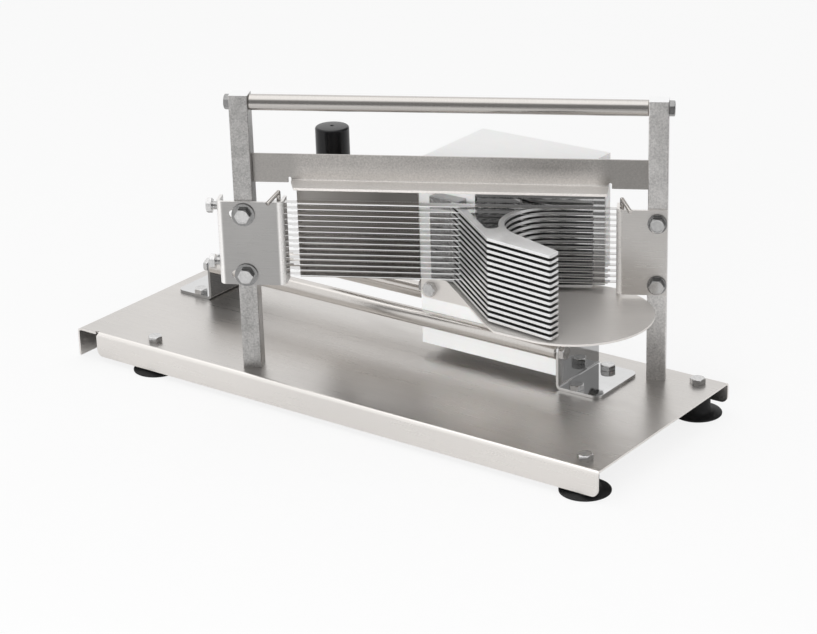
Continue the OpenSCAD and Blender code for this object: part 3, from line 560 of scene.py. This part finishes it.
def blade_rule():
    """Blades in a stack, each with a row of saw teeth along its back edge."""
    rule = Rule("saw_blade_stack", Count="Int", Step="Vector", Teeth="Int", Tooth_Step="Vector",
                First_Tooth="Vector", Tooth_Thickness="Float", Tooth_Shape="Vector", Finish="Material")
    prism = rule.node("GeometryNodeMeshCylinder", None,
                      {"Vertices": 3, "Radius": 1.0, "Depth": rule.given("Tooth_Thickness")})
    tooth = rule.node("GeometryNodeTransform", None,
                      {"Geometry": prism, "Rotation": (0, 0, math.pi / 2),
                       "Scale": rule.given("Tooth_Shape")})
    edge = rule.row(rule.given("Teeth"), rule.given("Tooth_Step"), rule.given("First_Tooth"))
    teeth = rule.copies(edge, tooth)
    saw = rule.node("GeometryNodeJoinGeometry", None, {"Geometry": [teeth, rule.given("Geometry")]})
    row = rule.row(rule.given("Count"), rule.given("Step"))
    return rule.finish(rule.copies(row, saw), rule.given("Finish"))


def bolt_rule():
    """A bolt at each point of the base mesh, turned by the point's aim."""
    rule = Rule("bolts_at_points", Bolt="Object", Finish="Material")
    bolt = rule.node("GeometryNodeObjectInfo", None, {"Object": rule.given("Bolt")}, "Geometry")
    aim = rule.node("GeometryNodeInputNamedAttribute", {"data_type": "FLOAT_VECTOR"},
                    {"Name": "aim"})
    turn = rule.node("FunctionNodeEulerToRotation", None, {"Euler": aim})
    return rule.finish(rule.copies(rule.given("Geometry"), bolt, turn), rule.given("Finish"))


def rings(bm, loops):
    """Closed loops of points joined one to the next, with flat ends."""
    made = [[bm.verts.new(p) for p in loop] for loop in loops]
    n = len(made[0])
    for a, b in zip(made, made[1:]):
        for i in range(n):
            bm.faces.new((a[i], a[(i + 1) % n], b[(i + 1) % n], b[i]))
    bm.faces.new(made[0][::-1])
    bm.faces.new(made[-1])


def turned(profile, steps):
    """A lathe shape from (radius, height) pairs, closed with flat discs."""
    bm = bmesh.new()
    angles = [2 * math.pi * i / steps for i in range(steps)]
    rings(bm, [[(r * math.cos(a), r * math.sin(a), z) for a in angles] for r, z in profile])
    bmesh.ops.recalc_face_normals(bm, faces=bm.faces)
    return bm


def arc(cx, cy, r, a0, a1, steps):
    """Points of an arc, angles in degrees."""
    angles = [math.radians(a0 + (a1 - a0) * i / steps) for i in range(steps + 1)]
    return [(cx + r * math.cos(a), cy + r * math.sin(a)) for a in angles]


def hex_bolt(af, head, thread, length, threaded=0.0):
    """Hexagon bolt: chamfered head above the XY plane, shank with a thread below it."""
    steps, pitch, end_chamfer = 48, 1.25, 0.9
    angles = [2 * math.pi * i / steps for i in range(steps)]
    flat = [af / 2 / math.cos((a % (math.pi / 3)) - math.pi / 6) for a in angles]
    face = af * 0.475
    shoulder = [head - max(0.0, (r - face) * 0.577) for r in flat]

    def ring(radii, heights):
        return [(r * math.cos(a), r * math.sin(a), z) for r, a, z in zip(radii, angles, heights)]

    half = thread / 2
    core = half * 0.86
    shank = [(half * 0.82, -length), (half, -length + end_chamfer)]
    z = -length + end_chamfer
    while z < -length + threaded - pitch:
        shank += [(half, z + 0.3), (core, z + 0.65), (core, z + 0.8), (half, z + 1.15)]
        z += pitch
    shank += [(half, -0.4), (half, 0.0)]
    crown = [(face, head), (face * 0.86, head), (face * 0.8, head - 0.15)]
    loops = [ring([r] * steps, [h] * steps) for r, h in shank]
    loops += [ring([r * 0.965 for r in flat], [0.0] * steps), ring(flat, [0.35] * steps),
              ring(flat, shoulder)]
    loops += [ring([r] * steps, [h] * steps) for r, h in crown]
    bm = bmesh.new()
    rings(bm, loops)
    bmesh.ops.recalc_face_normals(bm, faces=bm.faces)
    return to_mesh(bm, "bolt_shape")


BOLTS = bolt_rule()


def bolts(name, node, body, place, spots, size, length, threaded=0.0, steel=fastener):
    """One node's bolts: spots are (point, turn in degrees)."""
    master = bpy.data.objects.new("bolt_master", hex_bolt(*size, length, threaded))
    points = bpy.data.meshes.new("bolt_points")
    points.from_pydata([p for p, turn in spots], [], [])
    aim = points.attributes.new("aim", "FLOAT_VECTOR", "POINT")
    for i, (p, turn) in enumerate(spots):
        aim.data[i].vector = [math.radians(a) for a in turn]
    mesh = baked(points, BOLTS, Bolt=master, Finish=steel)
    bpy.data.objects.remove(master)
    return piece(name, mesh, place, body, steel, [node], 25)


def softened(name, node, body, material, width, steps=2):
    """A CAD node's own shape with its edges broken by a small round."""
    mesh = nodes[node].data.copy()
    bm = bmesh.new()
    bm.from_mesh(mesh)
    bmesh.ops.remove_doubles(bm, verts=bm.verts, dist=0.000002)
    bmesh.ops.dissolve_limit(bm, angle_limit=math.radians(0.6), verts=bm.verts, edges=bm.edges)
    bm.to_mesh(mesh)
    bm.free()
    carrier, bevel = carried(mesh, "BEVEL")
    bevel.width, bevel.segments = width * 0.001, steps
    bevel.limit_method, bevel.angle_limit = "ANGLE", math.radians(40)
    bevel.use_clamp_overlap = True
    return piece(name, applied(carrier), Matrix.Identity(4), body, material, [node], 32)


# Blades

def blade_strip():
    """One blade without its teeth: blunt front edge, ground back edge, narrow ends."""
    bm = bmesh.new()
    section = [(-9.0, 0.34), (-8.9, 0.4), (-2.6, 0.4), (0.4, 0.13)]
    outline = section + [(y, -h) for y, h in section[::-1]]
    rings(bm, [[(x, y, z) for y, z in outline] for x in (-BLADE_HALF, BLADE_HALF)])
    middle, r, reach, half_t = -3.2, 2.8, 163.2, 0.27
    root = BLADE_HALF - 1.5
    for side in (-1, 1):
        rim = [(side * (reach + x), y) for x, y in arc(0, middle, r, -90, 90, 8)]
        rim += [(side * root, middle + r), (side * root, middle - r)]
        rings(bm, [[(x, y, z) for x, y in rim] for z in (-half_t, half_t)])
    bmesh.ops.recalc_face_normals(bm, faces=bm.faces)
    return to_mesh(bm, "blade_strip")


saw_blades = baked(blade_strip(), blade_rule(), Count=BLADE_COUNT, Step=(0.0, 0.0, -BLADE_PITCH),
                   Teeth=TEETH, Tooth_Step=(TOOTH_STEP, 0.0, 0.0),
                   First_Tooth=(-TOOTH_STEP * (TEETH - 1) / 2, 1.0, 0.0),
                   Tooth_Thickness=0.26, Tooth_Shape=(1.45, 1.6, 1.0), Finish=blade_steel)
piece("saw_blades", saw_blades, moved(ON_FRAME, 0, 0, BLADE_TOP), "frame",
      blade_steel, ["blade_%02d" % i for i in range(1, BLADE_COUNT + 1)], 20)


# Pusher comb

def rounded_corner(before, corner, after, r, steps=4):
    """Points of a corner of an outline cut round."""
    a, b, c = Vector(before), Vector(corner), Vector(after)
    u, v = (a - b).normalized(), (c - b).normalized()
    half = u.angle(v) / 2
    reach = r / math.tan(half)
    centre = b + (u + v).normalized() * (r / math.sin(half))
    start, stop = b + u * reach - centre, b + v * reach - centre
    made = []
    for i in range(steps + 1):
        way = start.lerp(stop, i / steps).normalized() * r
        made.append(tuple(centre + way))
    return made


def heading(degrees):
    """The plan direction at an angle from X."""
    return Vector((math.cos(math.radians(degrees)), math.sin(math.radians(degrees))))


def angle_to(centre, point):
    """The angle in degrees at which a point is seen from a centre."""
    return math.degrees(math.atan2(point.y - centre.y, point.x - centre.x))


def fin_outline():
    """The outline of a fin in plan, from the arm's root round the pocket and back."""
    # The arm: a strip that slants from the root to the apex
    arm_turn, arm_wide, root_y = -37, 7.4, 15
    along, across = heading(arm_turn), heading(arm_turn + 90)
    apex, tip = Vector((153, -54.4)), Vector((226, -62.9))
    start = apex - along * ((root_y - apex.y) / math.sin(math.radians(-arm_turn)))

    # The pocket: a round wall that opens between the rear prong and the front edge
    pocket, r, wall = Vector((181, 10)), 43.5, 5.5
    outer = r + wall
    rear_turn, front_turn, touch_turn, prong_l = 31.5, -17, 253.0, 36
    rear_out = heading(rear_turn + 90)
    prong = pocket + r * rear_out + prong_l * heading(rear_turn)
    prong_out = prong + wall * rear_out
    touch = pocket + r * heading(touch_turn)
    front = heading(front_turn)
    tip_in = touch + front * ((tip.x - touch.x) / front.x)

    # The notch: a round bottom between the pocket's wall and the arm
    notch_turn, notch_r = 220, 7.0
    reach = outer + notch_r - 0.5
    notch = pocket + reach * heading(notch_turn)
    flat = (reach ** 2 + outer ** 2 - notch_r ** 2) / (2 * reach)
    meet_turn = notch_turn + math.degrees(math.acos(flat / outer))
    gap = (notch - apex).dot(across) - arm_wide
    foot = notch - gap * across + math.sqrt(max(notch_r ** 2 - gap ** 2, 0)) * along
    a0 = angle_to(notch, pocket + outer * heading(meet_turn))
    a1 = angle_to(notch, foot)
    a1 -= 360 if a1 > a0 else 0

    line = [tuple(start)]
    line += rounded_corner(start, apex, tip, 3.0, 5)
    line += rounded_corner(apex, tip, tip_in, 2.4, 6)
    line += rounded_corner(tip, tip_in, touch, 1.6)
    line += arc(pocket.x, pocket.y, r, touch_turn, rear_turn + 90, 40)
    line += rounded_corner(pocket + r * rear_out, prong, prong_out, 1.6)
    line += rounded_corner(prong, prong_out, pocket + outer * rear_out, 1.6)
    line += arc(pocket.x, pocket.y, outer, rear_turn + 90, meet_turn, 32)
    line += arc(notch.x, notch.y, notch_r, a0, a1, 14)[1:]
    line += [tuple(start + arm_wide * across)]
    return line


def fin():
    """One fin with its edges broken."""
    bm = bmesh.new()
    floor = bm.faces.new([bm.verts.new((x, y, 0)) for x, y in fin_outline()])
    top = bmesh.ops.extrude_face_region(bm, geom=[floor])["geom"]
    bmesh.ops.translate(bm, verts=[v for v in top if isinstance(v, bmesh.types.BMVert)],
                        vec=(0, 0, FIN_T))
    bmesh.ops.recalc_face_normals(bm, faces=bm.faces)
    rims = [e for e in bm.edges if abs(e.verts[0].co.z - e.verts[1].co.z) < 1e-6]
    bmesh.ops.bevel(bm, geom=rims, offset=0.45, segments=2, profile=0.5, affect="EDGES",
                    clamp_overlap=True)
    bmesh.ops.triangulate(bm, faces=[f for f in bm.faces if len(f.verts) > 4])
    return to_mesh(bm, "fin")


def comb_root():
    """The comb's root block with broken edges."""
    bm = bmesh.new()
    bmesh.ops.create_cube(bm, size=1.0)
    bmesh.ops.scale(bm, verts=bm.verts, vec=ROOT_SIZE)
    bmesh.ops.translate(bm, verts=bm.verts, vec=ROOT_MIDDLE)
    bmesh.ops.bevel(bm, geom=list(bm.edges), offset=0.8, segments=2, profile=0.5, affect="EDGES")
    return bm


fins = baked(fin(), stack_rule(), Count=BLADE_COUNT + 1, Step=(0.0, 0.0, -BLADE_PITCH),
             Finish=comb_metal)
fins.transform(Matrix.Translation((0, 0, BLADE_TOP - BLADE_PITCH / 2 - FIN_T / 2)))
whole_comb = comb_root()
whole_comb.from_mesh(fins)
piece("finned_comb", to_mesh(whole_comb, "finned_comb"), ON_BASE, "carriage",
      comb_metal, ["pusher_comb"], 30)


# Grip, feet and rods, from lathe profiles of (radius, height) pairs

grip_profile = [(0.4, 0), (14.6, 0), (15.9, 0.6), (16.5, 1.8), (16.55, 4), (16.75, 20), (16.75, 60),
                (16.75, 100)]
grip_profile += arc(14.5, 118.85, 2.25, 0, 78, 8)
grip_profile += [(11.5, 121.3), (8.0, 121.45), (2.1, 121.5), (1.7, 121.3), (1.4, 120.2), (0.4, 120.0)]
piece("handle_grip", to_mesh(turned(grip_profile, 96), "grip"), moved(ON_BASE, GRIP_X, GRIP_Y, GRIP_Z),
      "carriage", grip_plastic, ["grip"], 40)

foot_profile = [(0.4, 6.2), (8, 5.4), (14, 3.4), (18.5, 1.2), (20.2, 0.05), (22.6, 0.0), (23.4, 0.5),
                (23.5, 1.3), (22.9, 2.0), (19.5, 2.9), (16.2, 3.7), (14.4, 4.5), (13.2, 5.6),
                (12.6, 7.5), (12.4, 12), (12.4, 17.5), (12.0, 18.2), (11.2, 18.6), (11.2, 19.6),
                (12.0, 20.0), (12.5, 20.8), (12.5, 27.6), (12.0, 28.4), (4.2, 28.5)]
for name, (x, y) in FEET.items():
    piece("suction_cup_" + name, to_mesh(turned(foot_profile, 72), "cup"),
          moved(ON_BASE, x, y, -FOOT_HEIGHT), "frame", foot_rubber, ["foot_" + name], 30)


def rod(name, node, place, length, d, material):
    """A ground rod along X with chamfered ends."""
    r, inner, chamfer = d / 2, 4.05, 0.8
    profile = [(inner, 0), (r - chamfer, 0), (r, chamfer), (r, length / 3), (r, 2 * length / 3),
               (r, length - chamfer), (r - chamfer, length), (inner, length)]
    lying = Matrix.Rotation(math.radians(90), 4, "Y")
    piece(name, to_mesh(turned(profile, 96), name), place @ lying, "frame", material,
          [node], 30)


for name, y in ROD_YS.items():
    rod(name + "_guide", "guide_rod_" + name, moved(ON_BASE, ROD_LEFT, y, ROD_Z),
        ROD_RIGHT - ROD_LEFT, ROD_D, rod_steel)
rod("top_bar", "top_rod", moved(ON_FRAME, -TOP_ROD_HALF, 0, TOP_ROD_Z), 2 * TOP_ROD_HALF, TOP_ROD_D,
    top_rod_steel)


# Fasteners: where a head's seat lies, and which way the head points

HEAD_DOWN, HEAD_FRONT, HEAD_BACK, HEAD_LEFT = (180, 0, 0), (90, 0, 0), (-90, 0, 0), (0, -90, 0)

bolts("foot_screws", "foot_bolts", "frame", ON_BASE,
      [((x, y, 0), (0, 0, 20)) for x, y in FEET.values()], BIG, 15.0)
bolts("post_screws", "post_bolts", "frame", ON_FRAME,
      [((x, 0, -2), HEAD_DOWN) for x in (-POST_X, POST_X)], BIG, 20.0)
bolts("top_bar_screws", "top_rod_bolts", "frame", ON_FRAME,
      [((s * POST_OUT, 0, TOP_ROD_Z), (0, s * 90, 0)) for s in (-1, 1)], BIG, 31.0,
      steel=shaded_fastener_steel)
for side, name in ((-1, "left"), (1, "right")):
    bolts("clamp_screws_" + name, "holder_bolts_" + name, "frame", ON_FRAME,
          [((side * POST_X, HOLDER_FRONT - WASHER_T, z), HEAD_FRONT) for z in (96.5, 156.5)],
          BIG, 20.6)
bolts("tension_screws", "tension_bolts", "frame", ON_FRAME,
      [((-224.5, 0, z), HEAD_LEFT) for z in (105, 161)], BIG, 22.8, 23.0)
bolts("bracket_screws", "bracket_bolts_set", "frame", ON_BASE,
      [((x, y, BRACKET_T), (0, 0, 10)) for x in (200, -260) for y in (20, 75)], BIG, 13.5)
bolts("rod_screws", "rod_end_bolts", "frame", ON_BASE,
      [((s * BRACKET_T + x, y, ROD_Z), (0, s * 90, 0))
       for s, x in ((1, ROD_RIGHT), (-1, ROD_LEFT)) for y in ROD_YS.values()], BIG, 16.0)
bolts("tray_screws", "tray_bolts_set", "carriage", ON_BASE,
      [((x, 20, 69), HEAD_FRONT) for x in (36, 120)], BIG, 22.0)
bolts("arm_screws", "handle_bolts_set", "carriage", ON_BASE,
      [((14.5, y, 61), HEAD_LEFT) for y in (41.5, 57.5)], BIG, 28.0)
bolts("grip_screw", "grip_bolt", "carriage", ON_BASE,
      [((GRIP_X, GRIP_Y, 72), HEAD_DOWN)], BIG, 36.0)
bolts("comb_screws", "comb_bolts_set", "carriage", ON_BASE,
      [((57, 30, z), HEAD_BACK) for z in (105.15, 147.15)], SMALL, 18.0)
bolts("guard_screws", "guard_bolts_set", "carriage", ON_BASE,
      [((20.5, 42, z), HEAD_LEFT) for z in (102, 167)], SMALL, 10.0)


# Sheet and block pieces with broken edges

softened("white_cover", "carriage_cover", "carriage", white_plastic, 1.2, 3)
softened("white_slide_block", "carriage_block", "carriage", white_plastic, 0.8, 2)
softened("polished_back", "back_sheet", "carriage", back_steel, 0.3)
softened("fruit_tray", "tray", "carriage", tray_steel, 0.4)
softened("guard_sheet", "hand_guard", "carriage", guard_steel, 0.4)
softened("handle_bar", "handle_arm", "carriage", tray_steel, 0.8)
softened("left_blade_holder", "holder_left", "frame", left_holder_shaded_steel, 0.25)
softened("right_blade_holder", "holder_right", "frame", right_holder_lit_steel, 0.25)
softened("cross_sheet", "cross_plate", "frame", cross_steel, 0.4)
softened("left_rod_bracket", "bracket_left_plate", "frame", left_bracket_shaded_steel, 0.5)
softened("right_rod_bracket", "bracket_right_plate", "frame", bracket_steel, 0.5)
softened("base_sheet", "base_plate", "frame", base_steel, 0.35)
softened("left_post_bar", "post_left", "frame", left_post_shaded_steel, 0.5)
softened("right_post_bar", "post_right", "frame", right_post_lit_steel, 0.5)
softened("left_hooked_pin", "blade_pin_left", "frame", rod_steel, 0.3)
softened("right_hooked_pin", "blade_pin_right", "frame", rod_steel, 0.3)

# Nodes that keep their own shape

plain_nodes = {"holder_washers": shaded_fastener_steel, "bracket_nuts": fastener, "cover_bolts_set": fastener}
for node, material in plain_nodes.items():
    nodes[node].data.materials.clear()
    nodes[node].data.materials.append(material)


# Studio

def studio_floor():
    """Pale paper that the eye sees almost white, with a dim far part for polished metal to mirror."""
    bm = bmesh.new()
    bmesh.ops.create_grid(bm, x_segments=8, y_segments=8, size=6.0)
    floor = bpy.data.objects.new("studio_floor", to_mesh(bm, "studio_floor"))
    bpy.context.scene.collection.objects.link(floor)
    paper = Finish("studio_paper", (0.9, 0.9, 0.9), 0.9)
    fibre = paper.noise(60, 3, 0.6)
    mirrored = paper.node("ShaderNodeLightPath", out="Is Glossy Ray")
    away = paper.along((0.95, -0.3, 0), Vector((0, 0, 0))).between(0.4, 0.8)
    pale = paper.colour(fibre, grey(0.86), grey(0.9))
    paper.set("Base Color", paper.colour(mirrored * away * 0.7, pale, grey(0.06)))
    seen = paper.node("ShaderNodeLightPath", out="Is Camera Ray")
    glow = paper.node("ShaderNodeEmission", None, {"Color": (1, 1, 1, 1), "Strength": 1.0})
    lit = Value(paper, paper.shader.outputs[0])
    surface = paper.node("ShaderNodeMixShader", None, {0: seen * 0.82, 1: lit, 2: glow})
    paper.feed(paper.tree.nodes["Material Output"].inputs["Surface"], surface)
    floor.data.materials.append(paper.material)


def studio_world():
    """White for the eye, an even glow for soft light, and dim sides for polished metal to mirror."""
    world = bpy.data.worlds.new("studio_world")
    bpy.context.scene.world = world
    world.use_nodes = True
    sky = Shading(world.node_tree)
    way = sky.node("ShaderNodeTexCoord", out="Generated")
    room_side = sky.dot(way, (0.58, -0.8, 0.14)).between(0.45, 0.85)
    back_side = sky.dot(way, (0.56, 0.73, 0.39)).between(0.7, 0.93)
    dim = room_side + back_side * 0.9
    glossy = sky.node("ShaderNodeLightPath", out="Is Glossy Ray")
    camera_ray = sky.node("ShaderNodeLightPath", out="Is Camera Ray")
    strength = glossy * (1.0 - dim * 0.75) + (1.0 - glossy) * (camera_ray * 0.32 + 0.68)
    background = sky.tree.nodes["Background"]
    sky.feed(background.inputs["Color"], (1, 1, 1, 1))
    sky.feed(background.inputs["Strength"], strength)


def softbox(name, place, aim, size, watts, mirrored):
    """A rectangular lamp aimed at a point, which metal mirrors or not."""
    lamp = bpy.data.lights.new(name, "AREA")
    lamp.shape, lamp.size, lamp.size_y, lamp.energy = "RECTANGLE", size[0], size[1], watts
    made = bpy.data.objects.new(name, lamp)
    made.location = place
    made.rotation_euler = (Vector(aim) - Vector(place)).to_track_quat("-Z", "Y").to_euler()
    made.visible_glossy = mirrored
    bpy.context.scene.collection.objects.link(made)


studio_floor()
studio_world()
softbox("overhead_softbox", (-0.3, -0.3, 2.0), (0, 0, 0.1), (2.4, 1.8), 7, True)
softbox("front_softbox", (1.0, -2.4, 0.75), (0, 0, 0.15), (1.6, 0.9), 42, False)

camera = bpy.data.objects.new("camera", bpy.data.cameras.new("camera"))
camera.data.sensor_width, camera.data.lens = 36, 103.98
camera.data.clip_end = 50
camera.location = (1.28062, -1.67969, 0.91938)
camera.rotation_euler = [math.radians(a) for a in (68.01318, 1.60191, 36.25497)]
bpy.context.scene.collection.objects.link(camera)
bpy.context.scene.camera = camera
bpy.context.scene.view_settings.view_transform = "Standard"
